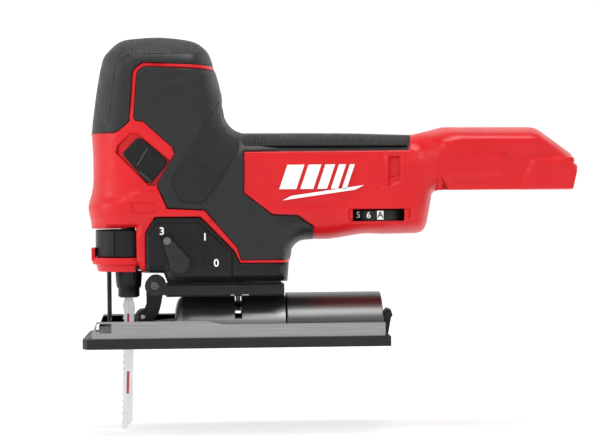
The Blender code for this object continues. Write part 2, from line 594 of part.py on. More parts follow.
def shoe_bracket():
    half = BRACKET_HALF_WIDTH
    x, z = ROLLER_ARM_PIVOT
    side_view = [(-46, 37.2), (28.6, 37.2), (28.6, 31), (-46, 31)]
    bracket = make("shoe_bracket", prism(side_view, -half, half), "dark_casting")
    for start, end in ((-45, -4.8), (-2.4, 2.2), (6.8, 28.6)):
        join(bracket, box((start, -6, 24), (end, 6, 33)))
    join(bracket, box((-45, -10, 36), (27, 10, 38.3)))
    for side in (-1, 1):
        low, high = sorted((side * 9, side * half))
        join(bracket, rod((x, 0, z), low, high, 6.2, "y", 24))
        join(bracket, prism([(x, z + 6), (-45, 37.2), (-45, 31.5), (x, z - 6)], low, high))
    cut(bracket, rod((0, 0, 0), -60, 60, TILT_RADIUS + GAP, "x", 44))
    cut(bracket, rod((x, 0, z), -20, 20, 2.9, "y", 16))
    cut(bracket, rod((-0.2, 0, 0), 20, 60, 1.9, "z", 12))


def bevel_clamp():
    profile = [(20.4, 0), (20.4, 3.4), (23.2, 3.4), (23.2, 1.4), (37.8, 1.4), (37.8, 0)]
    make("bevel_bolt", turned(profile, (-0.2, 0, 0), "z", 12), "steel")
    plate = make("bevel_clamp_plate", tube((0, 0, 0), -8, 8, 23.6, 26.6, "x", 40), "steel")
    cut(plate, box((-20, -40, -40), (20, 40, 23.3)))
    cut(plate, rod((-0.2, 0, 0), 10, 60, 1.9, "z", 12))


def shoe_parts():
    front, back, half, slot = SHOE_FRONT, SHOE_BACK, SHOE_HALF_WIDTH, SHOE_OPENING
    plan = [
        (front + 3, -half), (back, -half), (back, half), (front + 3, half), (front, half - 4),
        (front, slot), (-46, slot), (-41, slot - 5), (-41, 5 - slot), (-46, -slot), (front, -slot), (front, 4 - half),
    ]
    shoe = make("shoe", prism(plan, 2.8, 5.6, "z"), "silver_metal")
    flange = [(front + 1, 4), (front + 1, 8.7), (-86.7, 16.7), (-20.9, 16.6)]
    flange += [(-17, 16), (-10.5, 14.4), (back, 14.4), (back, 4)]
    for side in (-1, 1):
        low, high = sorted((side * half, side * (half - 1.7)))
        join(shoe, prism(flange, low, high))
    cut(shoe, box((-87, -60, 9.8), (-77.8, 60, 15.5)))

    wall = TILT_RADIUS - 3
    hump = [
        (-39.6, 0), (-39.6, 22.5), (-38.9, 25.5), (-37.4, 28.2), (-34.9, TILT_RADIUS), (29.3, TILT_RADIUS),
        (29.3, wall), (-36, wall), (-36, 0),
    ]
    barrel = make("tilt_barrel", turned(hump, (0, 0, 0), "x", 44), "silver_metal")
    cut(barrel, box((-60, -60, -60), (60, 60, 5.9)))
    cut(barrel, box((-45, -12, 0), (-30, 12, 19)))
    cut(barrel, box((-2.2, -40, 17.2), (1.8, 40, 40)))  # lets the bolt through over the whole tilt

    pipe = tube((0, 0, 0), 29.7, 89.2, DUST_TUBE_RADIUS - 2.2, DUST_TUBE_RADIUS, "x", 44)
    pipe = make("dust_tube", pipe, "silver_metal")
    cut(pipe, box((0, -60, -60), (120, 60, 5.9)))
    shoe_cover()


def shoe_cover():
    front, back, half = -95.6, 92.8, 39.6
    plan = [(front + 3, -half), (back, -half), (back, half)]
    plan += [(front + 3, half), (front, half - 5), (front, 5 - half)]
    cover = make("shoe_cover", prism(plan, 0, 6.3, "z"), "black_plastic")
    cut(cover, box((SHOE_FRONT - 0.4, -half + 1.8, 2.5), (SHOE_BACK + 0.4, half - 1.8, 10)))
    cut(cover, box((-88, -12, -1), (-46, 12, 4)))
    clip = [(back - 2.8, 1), (back, 1), (95.6, 15.5), (96.6, 16.6), (95.4, 20.6), (93.4, 20.6), (90, 15.8)]
    join(cover, prism(clip, -9, 9))


def switch_parts():
    link_centre = (SWITCH_REST[0], 0, SWITCH_REST[1])
    make("switch_link", rod(link_centre, -27.4, 27.4, 3.0, "y", 14), "black_plastic", link_centre)
    for word, side in (("left", -1), ("right", 1)):
        bm = slanted(SWITCH_REST, 24.8, 16.4, side * 27.7, side * 30.6)
        pad = make(f"switch_pad_{word}", bm, "black_plastic", (SWITCH_REST[0], side * 29, SWITCH_REST[1]))
        add_bevel(pad, 0.9)


def electrics():
    wheel = [(76.4, 2.2), (76.4, DIAL_RADIUS - 0.6), (77, DIAL_RADIUS)]
    wheel += [(82.7, DIAL_RADIUS), (83.3, DIAL_RADIUS - 0.6), (83.3, 2.2)]
    centre = (DIAL_CENTRE[0], DIAL_CENTRE[1], 0)
    make("speed_dial", turned(wheel, centre, "z", 30), "black_plastic", (*DIAL_CENTRE, 79.8))
    module = make("control_module", box((46, -13, 89), (104, 13, 117)), "green_board")
    join(module, rod(centre, 76, 90, 1.9, "z", 12))  # the dial's spindle
    make("switch_module", box((-50, -12, 124), (-28, 12, 154)), "black_plastic")
    terminals = make("terminal_block", box((130, -15, 99), (156, 15, 111.7)), "black_plastic")
    for y in (-9, -3, 3, 9):
        cut(terminals, box((134, y - 0.8, 90), (170, y + 0.8, 108)))


clear_scene()
for half_name, half_side in (("housing_left", -1), ("housing_right", 1)):
    housing_half(half_name, half_side)
overmoulds()
housing_screws()
nose_parts()
release_lever()
plunger_parts()
gear_train()
orbit_parts()
roller_parts()
shoe_bracket()
bevel_clamp()
shoe_parts()
switch_parts()
electrics()
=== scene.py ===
import json
import math

import bmesh
import bpy
import numpy as np
from mathutils import Matrix, Vector

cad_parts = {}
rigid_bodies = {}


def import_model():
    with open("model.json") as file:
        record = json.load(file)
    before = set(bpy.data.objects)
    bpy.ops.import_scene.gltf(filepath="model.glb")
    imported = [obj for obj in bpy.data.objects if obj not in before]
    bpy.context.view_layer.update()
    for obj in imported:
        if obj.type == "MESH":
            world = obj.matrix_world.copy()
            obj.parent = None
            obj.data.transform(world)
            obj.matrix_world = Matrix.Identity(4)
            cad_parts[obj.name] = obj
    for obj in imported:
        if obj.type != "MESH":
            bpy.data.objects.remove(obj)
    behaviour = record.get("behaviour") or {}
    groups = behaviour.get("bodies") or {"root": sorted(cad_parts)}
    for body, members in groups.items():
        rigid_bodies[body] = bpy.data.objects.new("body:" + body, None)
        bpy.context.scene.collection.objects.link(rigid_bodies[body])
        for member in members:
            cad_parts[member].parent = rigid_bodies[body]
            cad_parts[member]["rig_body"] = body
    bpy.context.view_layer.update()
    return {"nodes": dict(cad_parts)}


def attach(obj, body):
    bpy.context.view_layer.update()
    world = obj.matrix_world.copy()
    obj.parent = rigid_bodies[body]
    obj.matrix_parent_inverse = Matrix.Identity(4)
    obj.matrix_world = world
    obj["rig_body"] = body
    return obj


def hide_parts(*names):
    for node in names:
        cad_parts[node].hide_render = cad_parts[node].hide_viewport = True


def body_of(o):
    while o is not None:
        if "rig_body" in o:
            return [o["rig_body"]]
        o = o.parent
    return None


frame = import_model()
cadNodes = frame["nodes"]
mm = 0.001
halves = (("Left", -1), ("Right", 1))  # each half's name and the side of y = 0 it lies on
onCut, onePoint = 1e-3, 1e-4  # how near points count as on a cut, and as one point
bladeX = -68.6  # the middle of the blade and of the nose round it

# body shape, in millimetres: x runs back along the tool, z up, and each half has its own side of y = 0
body = {
    "seamGap": 0.15,
    "thinnest": 0.5,
    "blend": 3.2,  # radius of the circle that the skin's height is averaged over
    "blendPoints": 10,
    "meshStep": 2.3,
    "rearStart": 112,  # behind this x the wall takes the battery end's thickness
    "widths": [
        (-95, 31), (-10, 31), (30, 28.5), (60, 26.5), (102, 26.5), (114, 30), (126, 37.2), (150, 38.6),
        (211, 39),
    ],
    "outline": [  # x, z and the edge radius of the stretch that starts there
        (-90.7, 132.2, 27), (-89.7, 141, 26), (-87.2, 159, 24), (-83.7, 176.6, 20), (-79.7, 183.3, 20),
        (-71.3, 189.9, 20), (-59, 191.6, 20), (-47.8, 192, 20), (-36.7, 191.1, 20), (-26.6, 189.2, 18),
        (-21.1, 186, 17), (-17.2, 181.8, 16), (-14.8, 175.5, 16), (-12.9, 169.9, 16), (-10.6, 161.5, 16),
        (-9, 154, 16), (-9, 148, 18), (-7.9, 142.5, 20), (-4.8, 136.8, 22), (-0.9, 133.5, 22),
        (3.5, 131.8, 22), (40, 131.6, 22), (75, 131.1, 20), (111.2, 130.1, 12), (129.4, 134.6, 9),
        (184, 134.2, 9), (186.6, 133.7, 9), (189.4, 132.3, 9), (209.9, 117.2, 9), (210.6, 113.8, 0.4),
        (206.2, 94.4, 0.4), (125.2, 94.4, 5), (123.2, 93.8, 9), (122.1, 92.2, 12), (120, 80, 14),
        (119.0, 74.6, 14), (117.6, 70.9, 14), (115.4, 68.7, 14), (112.2, 67.8, 14), (90, 67.6, 14),
        (77.6, 67.8, 14), (57.3, 64.8, 14), (41.8, 64.4, 10), (36.8, 62.4, 8), (33.8, 58.6, 8),
        (32.4, 52, 6), (31, 38.8, 4), (-44.5, 38.8, 4), (-46.5, 44.6, 5), (-59.5, 44.8, 1.5),
        (-63.3, 52.8, 1.2), (-63.5, 72.6, 3), (-91.4, 72.8, 27), (-91.7, 77.2, 27), (-93.1, 84.1, 27),
        (-92.8, 89, 27), (-91, 95.5, 27), (-90.1, 101.6, 27), (-90, 118, 27), (-90.5, 130, 27),
    ],
    "curves": [((-90.7, 132.2), (3.5, 131.8)), ((90, 67.6), (32.4, 52)), ((-91.4, 72.8), (-90.5, 130))],
    "cuts": 4,
}
seams = {  # lines between the red shell and its black mouldings
    "cap": [(-90.9, 132), (-74.6, 132.3), (-72.6, 133.2), (-65.6, 139.2)],
    "accentOuter": [(-65.9, 141), (-63.7, 168.2), (-62.3, 171.3), (-57.4, 174.9), (-14.4, 173)],
    "accentInner": [(-13.6, 170.6), (-56.6, 172.4), (-60.2, 169.6), (-61.1, 167.4), (-63.2, 141.2)],
    "bezel": [(-62.2, 139.4), (-57.4, 138.7), (-39.9, 123), (-38.4, 118.7), (-48.7, 101.6), (-49.2, 98.6)],
    "grip": [(-43.4, 85.1), (-20.5, 83.9), (-0.8, 61.1), (1.8, 53.2), (32.7, 53)],
    "cover": [
        (31.6, 51.2), (1.2, 51.5), (-2.7, 59.2), (-23.1, 80.2), (-50.8, 80.3), (-56.8, 70.5), (-56.8, 44.8),
    ],
    "barrel": [(47, 65), (46.4, 73.6), (37.3, 80.5), (21.2, 81.2), (3.7, 94.7), (4, 119.8), (105.9, 119.9)],
    "barrelEnd": [(108.8, 129.9)],
}


def traceOutline():
    # the side view with its curved stretches made smooth, and each edge's radius
    corners = [(x, z) for x, z, radius in body["outline"]]
    curved = [range(corners.index(start), corners.index(end)) for start, end in body["curves"]]
    points, radii = [], []
    for i, (x, z, radius) in enumerate(body["outline"]):
        stretch = next((c for c in curved if i in c), None)
        for cut in range(body["cuts"] if stretch else 1):
            t = cut / body["cuts"]
            spot = np.array((x, z), float)
            if stretch:
                before, after = max(i - 1, stretch.start), min(i + 2, stretch.stop)
                near = [corners[before], corners[i], corners[i + 1], corners[after]]
                p, q, r, w = np.array(near, float)
                bend, twist = 2 * p - 5 * q + 4 * r - w, 3 * q - p - 3 * r + w
                spot = 0.5 * (2 * q + (r - p) * t + bend * t**2 + twist * t**3)
            points.append((float(spot[0]), float(spot[1])))
            radii.append(radius)
    return points, np.array(radii, float)


outline, edgeRadii = traceOutline()


def stretchOf(start, end):
    # the outline from one of its corners to another
    first, last = outline.index(start), outline.index(end)
    return outline[first : last + 1] if first <= last else outline[first:] + outline[: last + 1]


def lineReach(points, line, closed=True):
    # each point's distance from each piece of a line, and which side of it the point lies on
    start = np.array(line, float)
    along = np.roll(start, -1, axis=0) - start
    if not closed:
        start, along = start[:-1], along[:-1]
    offset = points[:, None, :] - start[None]
    share = np.clip((offset * along).sum(2) / (along**2).sum(1), 0, 1)
    gap = offset - share[..., None] * along
    turn = along[None, :, 0] * offset[..., 1] - along[None, :, 1] * offset[..., 0]
    return np.sqrt((gap**2).sum(2)), turn


def insideReach(points, corners):
    # how far inside a closed line each point lies, 0 outside it
    distance = lineReach(points, corners)[0].min(1)
    start = np.array(corners, float)
    end = np.roll(start, -1, axis=0)
    x, z = points[:, :1], points[:, 1:]
    spans = (start[:, 1] > z) != (end[:, 1] > z)
    rise = np.where(end[:, 1] == start[:, 1], 1e-9, end[:, 1] - start[:, 1])
    crosses = spans & (x < (end[:, 0] - start[:, 0]) * (z - start[:, 1]) / rise + start[:, 0])
    return np.where(crosses.sum(1) % 2 == 1, distance, 0)


def skinHeights(points, lift=0.0):
    # half the body's width at each point of the side view, averaged over a small circle round it
    stations, widths = zip(*body["widths"])
    reach = np.minimum(body["blend"], 0.85 * lineReach(points, outline)[0].min(1))
    total = np.zeros(len(points))
    count = body["blendPoints"]
    around = [(share, turn * math.tau / count + share) for share in (0.5, 1) for turn in range(count)]
    for share, turn in [(0, 0)] + around:
        spots = points + np.outer(reach * share, (math.cos(turn), math.sin(turn)))
        rise = np.clip(lineReach(spots, outline)[0] / edgeRadii, 0, 1).min(1)
        total += (np.interp(spots[:, 0], stations, widths) + lift) * np.sqrt(1 - (1 - rise) ** 2)
    return total / (len(around) + 1)


def softSteps(points, steps):
    # each step raises what lies to the left of its line, over a soft slope
    total = np.zeros(len(points))
    for step in steps:
        distance, turn = lineReach(points, step["line"], closed=False)
        nearest = distance.argmin(1)
        rows = np.arange(len(points))
        signed = distance[rows, nearest] * np.sign(turn[rows, nearest])
        share = np.clip(signed / step["width"] + 0.5, 0, 1)
        if step.get("soft"):
            share = share * share * (3 - 2 * share)
        fade = 1.0
        if "until" in step:
            low, high = step["until"]
            fade = np.clip((points[:, 0] - low) / (high - low), 0, 1)
        total += step["height"] * share * fade
    return total


def sideSpots(verts):
    return np.array([(v.co.x, v.co.z) for v in verts], float)


def sliceRegion(bm, middle, reach, place, normal):
    # cuts only the faces near the middle, so that a recess's edges don't run on across the panel
    near = [f for f in bm.faces if (f.calc_center_median() - middle).length < reach]
    geom = set(near)
    for face in near:
        geom.update(face.edges)
        geom.update(face.verts)
    bmesh.ops.bisect_plane(bm, geom=list(geom), dist=onCut, plane_co=place, plane_no=normal)


def carvePanel(line, side, look):
    # one moulded panel of the side view, laid over the body's skin and given a wall
    bm = bmesh.new()
    face = bm.faces.new([bm.verts.new((x, 0, z)) for x, z in line])
    radius = look["edge"]
    for share in (0.12, 0.28, 0.6):
        bmesh.ops.inset_region(
            bm, faces=[face], thickness=radius * share, use_boundary=True, use_even_offset=True
        )
    step = look.get("step", body["meshStep"])
    for axis, normal in ((0, Vector((1, 0, 0))), (2, Vector((0, 0, 1)))):
        low = min(v.co[axis] for v in bm.verts)
        high = max(v.co[axis] for v in bm.verts)
        for count in range(math.ceil(low / step), math.ceil(high / step)):
            geom = bm.verts[:] + bm.edges[:] + bm.faces[:]
            bmesh.ops.bisect_plane(
                bm, geom=geom, dist=onCut, plane_co=normal * count * step, plane_no=normal
            )
    for recess in look.get("recesses", []):
        corners = [Vector((x, 0, z)) for x, z in recess["corners"]]
        middle = sum(corners, Vector()) / len(corners)
        reach = max((c - middle).length for c in corners) + 2 * step
        for first, second in zip(corners, corners[1:] + corners[:1]):
            inward = (second - first).cross(Vector((0, 1, 0))).normalized()
            if inward.dot(middle - first) < 0:
                inward = -inward
            sliceRegion(bm, middle, reach, first, inward)
            sliceRegion(bm, middle, reach, first + inward * recess["wall"], inward)
    for slope in look.get("steps", []):
        for start, end in zip(slope["line"], slope["line"][1:]):
            first, second = Vector((start[0], 0, start[1])), Vector((end[0], 0, end[1]))
            across = (second - first).cross(Vector((0, 1, 0))).normalized() * slope["width"] / 2
            middle, reach = (first + second) / 2, (second - first).length / 2 + 2
            for shift in (-1, 1):
                sliceRegion(bm, middle, reach, first + across * shift, across)
    bmesh.ops.triangulate(bm, faces=bm.faces, quad_method="SHORT_EDGE")
    under = bm.verts[:]
    pushed = bmesh.ops.extrude_face_region(bm, geom=bm.faces[:], use_keep_orig=True)
    top = [v for v in pushed["geom"] if isinstance(v, bmesh.types.BMVert)]
    for verts in (under, top):
        for vertex, height in zip(verts, skinHeights(sideSpots(verts), look.get("lift", 0))):
            vertex.co.y = height
    points = sideSpots(top)
    heights = np.array([v.co.y for v in top])
    heights += softSteps(points, look.get("steps", []))
    for recess in look.get("recesses", []):
        share = np.clip(insideReach(points, recess["corners"]) / recess["wall"], 0, 1)
        heights -= recess["depth"] * share
    fromEdge = np.clip(lineReach(points, line)[0].min(1) / radius, 0, 1)
    heights -= look.get("drop", radius) * (1 - np.sqrt(1 - (1 - fromEdge) ** 2))
    wall = look["wall"]
    for vertex, height in zip(top, heights):
        vertex.co.y = side * max(body["seamGap"] + body["thinnest"], height)
    for vertex in under:
        thick = wall if vertex.co.x < body["rearStart"] else look.get("rearWall", wall)
        vertex.co.y = side * max(body["seamGap"], vertex.co.y - thick)
    return bm


def finishPiece(name, bm, material, bodyName, replaced=(), sharp=32):
    # turns a bmesh in millimetres into a piece that rides its body
    bmesh.ops.remove_doubles(bm, verts=bm.verts, dist=onePoint)
    bmesh.ops.recalc_face_normals(bm, faces=bm.faces)
    bmesh.ops.scale(bm, vec=(mm, mm, mm), verts=bm.verts)
    mesh = bpy.data.meshes.new(name)
    bm.to_mesh(mesh)
    bm.free()
    mesh.materials.append(material)
    mesh.shade_smooth()
    mesh.set_sharp_from_angle(angle=math.radians(sharp))
    piece = bpy.data.objects.new(name, mesh)
    bpy.context.scene.collection.objects.link(piece)
    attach(piece, bodyName)
    if replaced:
        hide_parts(*replaced)
    return piece


def roundEdges(piece, width, segments=3, angle=35):
    bevel = piece.modifiers.new("edges", "BEVEL")
    bevel.width = width * mm
    bevel.segments = segments
    bevel.limit_method = "ANGLE"
    bevel.angle_limit = math.radians(angle)
    bevel.harden_normals = False
    return piece


def subtract(piece, bm):
    # takes the cutter's shape out of a finished piece for good
    bmesh.ops.recalc_face_normals(bm, faces=bm.faces)
    bmesh.ops.scale(bm, vec=(mm, mm, mm), verts=bm.verts)
    mesh = bpy.data.meshes.new("cutter")
    bm.to_mesh(mesh)
    bm.free()
    cutter = bpy.data.objects.new("cutter", mesh)
    bpy.context.scene.collection.objects.link(cutter)
    boolean = piece.modifiers.new("cut", "BOOLEAN")
    boolean.operation = "DIFFERENCE"
    boolean.object = cutter
    graph = bpy.context.evaluated_depsgraph_get()
    result = bpy.data.meshes.new_from_object(piece.evaluated_get(graph))
    piece.modifiers.remove(boolean)
    piece.data = result
    bpy.data.objects.remove(cutter)


def block(low, high, bm=None):
    bm = bm or bmesh.new()
    low, high = Vector(low), Vector(high)
    made = bmesh.ops.create_cube(bm, size=1)
    bmesh.ops.scale(bm, vec=high - low, verts=made["verts"])
    bmesh.ops.translate(bm, vec=(low + high) / 2, verts=made["verts"])
    return bm


def sideBlock(low, high, side, bm=None):
    # a block on one half, its y values counted outwards
    near, far = sorted((side * low[1], side * high[1]))
    return block((low[0], near, low[2]), (high[0], far, high[2]), bm)


def bar(start, end, radius, steps=32, bm=None):
    bm = bm or bmesh.new()
    start, end = Vector(start), Vector(end)
    turn = (end - start).to_track_quat("Z", "Y").to_matrix().to_4x4()
    place = Matrix.Translation((start + end) / 2) @ turn
    length = (end - start).length
    bmesh.ops.create_cone(
        bm, cap_ends=True, segments=steps, radius1=radius, radius2=radius, depth=length, matrix=place
    )
    return bm


def plate(corners, near, far, bm=None):
    # a flat outline of the side view, pushed from one y to another
    bm = bm or bmesh.new()
    face = bm.faces.new([bm.verts.new((x, near, z)) for x, z in corners])
    pushed = bmesh.ops.extrude_face_region(bm, geom=[face], use_keep_orig=True)
    moved = [v for v in pushed["geom"] if isinstance(v, bmesh.types.BMVert)]
    bmesh.ops.translate(bm, vec=(0, far - near, 0), verts=moved)
    return bm


def turnProfile(profile, centre, axis, steps=48, bm=None):
    # profile points are (along the axis, radius), spun once round it
    bm = bm or bmesh.new()
    axis, centre = Vector(axis), Vector(centre)
    out = Vector((0, 1, 0)) if abs(axis.y) < 0.5 else Vector((1, 0, 0))
    points = [bm.verts.new(centre + axis * along + out * radius) for along, radius in profile]
    edges = [bm.edges.new((points[i - 1], points[i])) for i in range(len(points))]
    onAxis = 1e-6
    loose = [e for e in edges if all((v.co - centre).cross(axis).length < onAxis for v in e.verts)]
    bmesh.ops.delete(bm, geom=loose, context="EDGES")
    edges = [e for e in edges if e.is_valid]
    points = [p for p in points if p.is_valid]
    bmesh.ops.spin(
        bm, geom=points + edges, cent=centre, axis=axis, angle=math.tau, steps=steps, use_merge=True
    )
    bmesh.ops.remove_doubles(bm, verts=bm.verts, dist=onePoint)
    return bm


def arcPoints(centre, radius, start, end, count):
    # points from one angle to another, in degrees
    turns = [math.radians(start + (end - start) * i / (count - 1)) for i in range(count)]
    return [(centre[0] + radius * math.cos(t), centre[1] + radius * math.sin(t)) for t in turns]


def baseFinish(name, colour, roughness, metallic=0.0, specular=0.5):
    finish = bpy.data.materials.new(name)
    finish.use_nodes = True
    shader = finish.node_tree.nodes["Principled BSDF"]
    shader.inputs["Base Color"].default_value = (*colour, 1)
    shader.inputs["Roughness"].default_value = roughness
    shader.inputs["Metallic"].default_value = metallic
    shader.inputs["Specular IOR Level"].default_value = specular
    return finish


def place(finish, scale=(1, 1, 1)):
    nodes, links = finish.node_tree.nodes, finish.node_tree.links
    coordinates = nodes.new("ShaderNodeTexCoord")
    mapping = nodes.new("ShaderNodeMapping")
    mapping.inputs["Scale"].default_value = scale
    links.new(coordinates.outputs["Object"], mapping.inputs["Vector"])
    return mapping.outputs["Vector"]


def speckle(finish, scale, detail=3.0, stretch=(1, 1, 1)):
    nodes, links = finish.node_tree.nodes, finish.node_tree.links
    noise = nodes.new("ShaderNodeTexNoise")
    noise.inputs["Scale"].default_value = scale
    noise.inputs["Detail"].default_value = detail
    links.new(place(finish, stretch), noise.inputs["Vector"])
    return noise.outputs["Fac"]


def varyColour(finish, source, dark, light):
    nodes, links = finish.node_tree.nodes, finish.node_tree.links
    ramp = nodes.new("ShaderNodeValToRGB")
    ramp.color_ramp.elements[0].position = 0.35
    ramp.color_ramp.elements[1].position = 0.65
    ramp.color_ramp.elements[0].color = (*dark, 1)
    ramp.color_ramp.elements[1].color = (*light, 1)
    links.new(source, ramp.inputs["Fac"])
    links.new(ramp.outputs["Color"], nodes["Principled BSDF"].inputs["Base Color"])


def varyRoughness(finish, source, low, high):
    nodes, links = finish.node_tree.nodes, finish.node_tree.links
    spread = nodes.new("ShaderNodeMapRange")
    spread.inputs["From Min"].default_value = 0.3
    spread.inputs["From Max"].default_value = 0.7
    spread.inputs["To Min"].default_value = low
    spread.inputs["To Max"].default_value = high
    links.new(source, spread.inputs["Value"])
    links.new(spread.outputs["Result"], nodes["Principled BSDF"].inputs["Roughness"])


def addBump(finish, source, strength, height, under=None):
    nodes, links = finish.node_tree.nodes, finish.node_tree.links
    bump = nodes.new("ShaderNodeBump")
    bump.inputs["Strength"].default_value = strength
    bump.inputs["Distance"].default_value = height * mm
    links.new(source, bump.inputs["Height"])
    if under is not None:
        links.new(under, bump.inputs["Normal"])
    links.new(bump.outputs["Normal"], nodes["Principled BSDF"].inputs["Normal"])
    return bump.outputs["Normal"]


def ribs(finish, pitch, direction, wobble=0.0, wobbleScale=1.0):
    nodes, links = finish.node_tree.nodes, finish.node_tree.links
    wave = nodes.new("ShaderNodeTexWave")
    wave.bands_direction = direction
    wave.inputs["Scale"].default_value = math.tau / 20 / (pitch * mm)  # a Wave repeats at tau / 20
    wave.inputs["Distortion"].default_value = wobble
    wave.inputs["Detail"].default_value = 0
    wave.inputs["Detail Scale"].default_value = wobbleScale
    links.new(place(finish), wave.inputs["Vector"])
    return wave.outputs["Fac"]


def redPlastic():
    finish = baseFinish("redPlastic", (0.6, 0.006, 0.011), 0.36, specular=0.3)
    drift = speckle(finish, 22)
    varyColour(finish, drift, (0.57, 0.005, 0.009), (0.63, 0.007, 0.012))
    varyRoughness(finish, speckle(finish, 60), 0.3, 0.38)
    addBump(finish, speckle(finish, 2600, 2), 0.12, 0.05)
    return finish


def smoothRubber(name="smoothRubber", tone=0.012):
    finish = baseFinish(name, (tone, tone, tone * 1.03), 0.44, specular=0.34)
    drift = speckle(finish, 30)
    varyColour(finish, drift, (tone * 0.9,) * 3, (tone * 1.12,) * 3)
    varyRoughness(finish, speckle(finish, 90), 0.40, 0.50)
    addBump(finish, speckle(finish, 3200, 2), 0.22, 0.05)
    return finish


def dimples(finish, pitch):
    nodes, links = finish.node_tree.nodes, finish.node_tree.links
    cells = nodes.new("ShaderNodeTexVoronoi")
    cells.inputs["Scale"].default_value = 1 / (pitch * mm)
    cells.inputs["Randomness"].default_value = 0.35
    links.new(place(finish), cells.inputs["Vector"])
    return cells.outputs["Distance"]


def ribbedRubber(name, pitch, direction, wobble, tone=0.014, depth=0.2):
    finish = baseFinish(name, (tone, tone, tone * 1.02), 0.5, specular=0.36)
    pattern = ribs(finish, pitch, direction, wobble, 60) if direction else dimples(finish, pitch)
    # the colour follows the rib and dimple heights: painted shade in the hollows and painted highlight on the
    # crests
    varyColour(finish, pattern, (tone * 0.4,) * 3, (tone * 1.9,) * 3)
    varyRoughness(finish, speckle(finish, 90), 0.46, 0.58)
    under = addBump(finish, speckle(finish, 1500, 2), 0.35, 0.08)
    addBump(finish, pattern, 1.0, depth * 3, under)
    return finish


def blackPlastic(name="blackPlastic", tone=0.005, roughness=0.36):
    finish = baseFinish(name, (tone, tone, tone * 1.04), roughness, specular=0.26)
    varyColour(finish, speckle(finish, 40), (tone * 0.85,) * 3, (tone * 1.15,) * 3)
    varyRoughness(finish, speckle(finish, 120), roughness - 0.05, roughness + 0.06)
    addBump(finish, speckle(finish, 2800, 2), 0.18, 0.05)
    return finish


def brushedMetal(name, tone, roughness, along=(4, 400, 400)):
    finish = baseFinish(name, (tone, tone, tone * 1.01), roughness, metallic=1.0)
    streaks = speckle(finish, 6, 4, along)
    varyColour(finish, streaks, (tone * 0.82,) * 3, (tone * 1.1,) * 3)
    varyRoughness(finish, streaks, roughness - 0.06, roughness + 0.08)
    addBump(finish, streaks, 0.12, 0.04)
    return finish


def castMetal(name, tone, roughness):
    finish = baseFinish(name, (tone, tone, tone * 1.02), roughness, metallic=0.7)
    grain = speckle(finish, 900, 3)
    varyColour(finish, speckle(finish, 60), (tone * 0.85,) * 3, (tone * 1.15,) * 3)
    varyRoughness(finish, grain, roughness - 0.06, roughness + 0.08)
    addBump(finish, grain, 0.3, 0.08)
    return finish


def machinedSteel(name, tone=0.5, roughness=0.28):
    finish = baseFinish(name, (tone, tone, tone * 1.02), roughness, metallic=1.0)
    rings = speckle(finish, 420, 3)
    varyColour(finish, rings, (tone * 0.9,) * 3, (tone * 1.08,) * 3)
    varyRoughness(finish, rings, roughness - 0.07, roughness + 0.08)
    addBump(finish, rings, 0.08, 0.03)
    return finish


def colouredMetal(name, dark, light, roughness):
    finish = baseFinish(name, light, roughness, metallic=1.0)
    drift = speckle(finish, 500, 2)
    varyColour(finish, drift, dark, light)
    addBump(finish, drift, 0.15, 0.05)
    return finish


def bladePaint():
    finish = baseFinish("bladePaint", (0.72, 0.74, 0.75), 0.34, metallic=0.15)
    grind = speckle(finish, 5, 3, (300, 300, 8))
    varyColour(finish, grind, (0.62, 0.64, 0.66), (0.80, 0.81, 0.82))
    varyRoughness(finish, grind, 0.28, 0.42)
    addBump(finish, grind, 0.1, 0.03)
    return finish


def whitePrint():
    finish = baseFinish("whitePrint", (0.86, 0.86, 0.86), 0.42)
    varyColour(finish, speckle(finish, 500, 2), (0.82, 0.82, 0.82), (0.9, 0.9, 0.9))
    return finish


def redPrint():
    finish = baseFinish("redPrint", (0.5, 0.02, 0.05), 0.45)
    varyColour(finish, speckle(finish, 700, 2), (0.40, 0.02, 0.04), (0.56, 0.03, 0.06))
    return finish


def circuitBoard():
    finish = baseFinish("circuitBoard", (0.02, 0.14, 0.05), 0.45)
    varyColour(finish, speckle(finish, 260, 2), (0.012, 0.09, 0.03), (0.03, 0.18, 0.06))
    addBump(finish, speckle(finish, 500, 2), 0.3, 0.1)
    return finish


red = redPlastic()
rubber = smoothRubber()
# these ribbed and dimpled rubbers carry painted shade and painted highlight in their colour, following their
# ribs
palmRubber = ribbedRubber("palmRubber", 1.25, "Z", 1.4)
crownRubber = ribbedRubber("crownRubber", 1.3, None, 0, 0.018, 0.15)
stripRubber = ribbedRubber("stripRubber", 1.4, "X", 0.0, 0.014)
darkPlastic = blackPlastic()
coverPlastic = blackPlastic("coverPlastic", 0.004, 0.40)
switchPlastic = blackPlastic("switchPlastic", 0.005, 0.45)
knobPlastic = blackPlastic("knobPlastic", 0.016, 0.34)
# pale grey: painted highlight lines along the switch ridges, and the orbit lever's paler tip
edgeRubber = blackPlastic("edgeRubber", 0.12, 0.5)
white = whitePrint()
bladeMark = redPrint()
# the finishes below are called by name, for the softened copies and the kept nodes
blackPlastic("shoeSkin", 0.012, 0.45)
brushedMetal("shoeMetal", 0.30, 0.34)
brushedMetal("tubeMetal", 0.13, 0.3, (3, 900, 900))
brushedMetal("barrelMetal", 0.24, 0.33)
castMetal("bracketMetal", 0.026, 0.42)
castMetal("guideMetal", 0.02, 0.45)
machinedSteel("steel")
machinedSteel("darkSteel", 0.10, 0.36)
machinedSteel("blackWire", 0.03, 0.4)
bladePaint()
colouredMetal("bushBrass", (0.45, 0.32, 0.12), (0.62, 0.46, 0.2), 0.35)
colouredMetal("windingCopper", (0.5, 0.18, 0.07), (0.7, 0.3, 0.13), 0.3)
circuitBoard()
print("finishes ready")

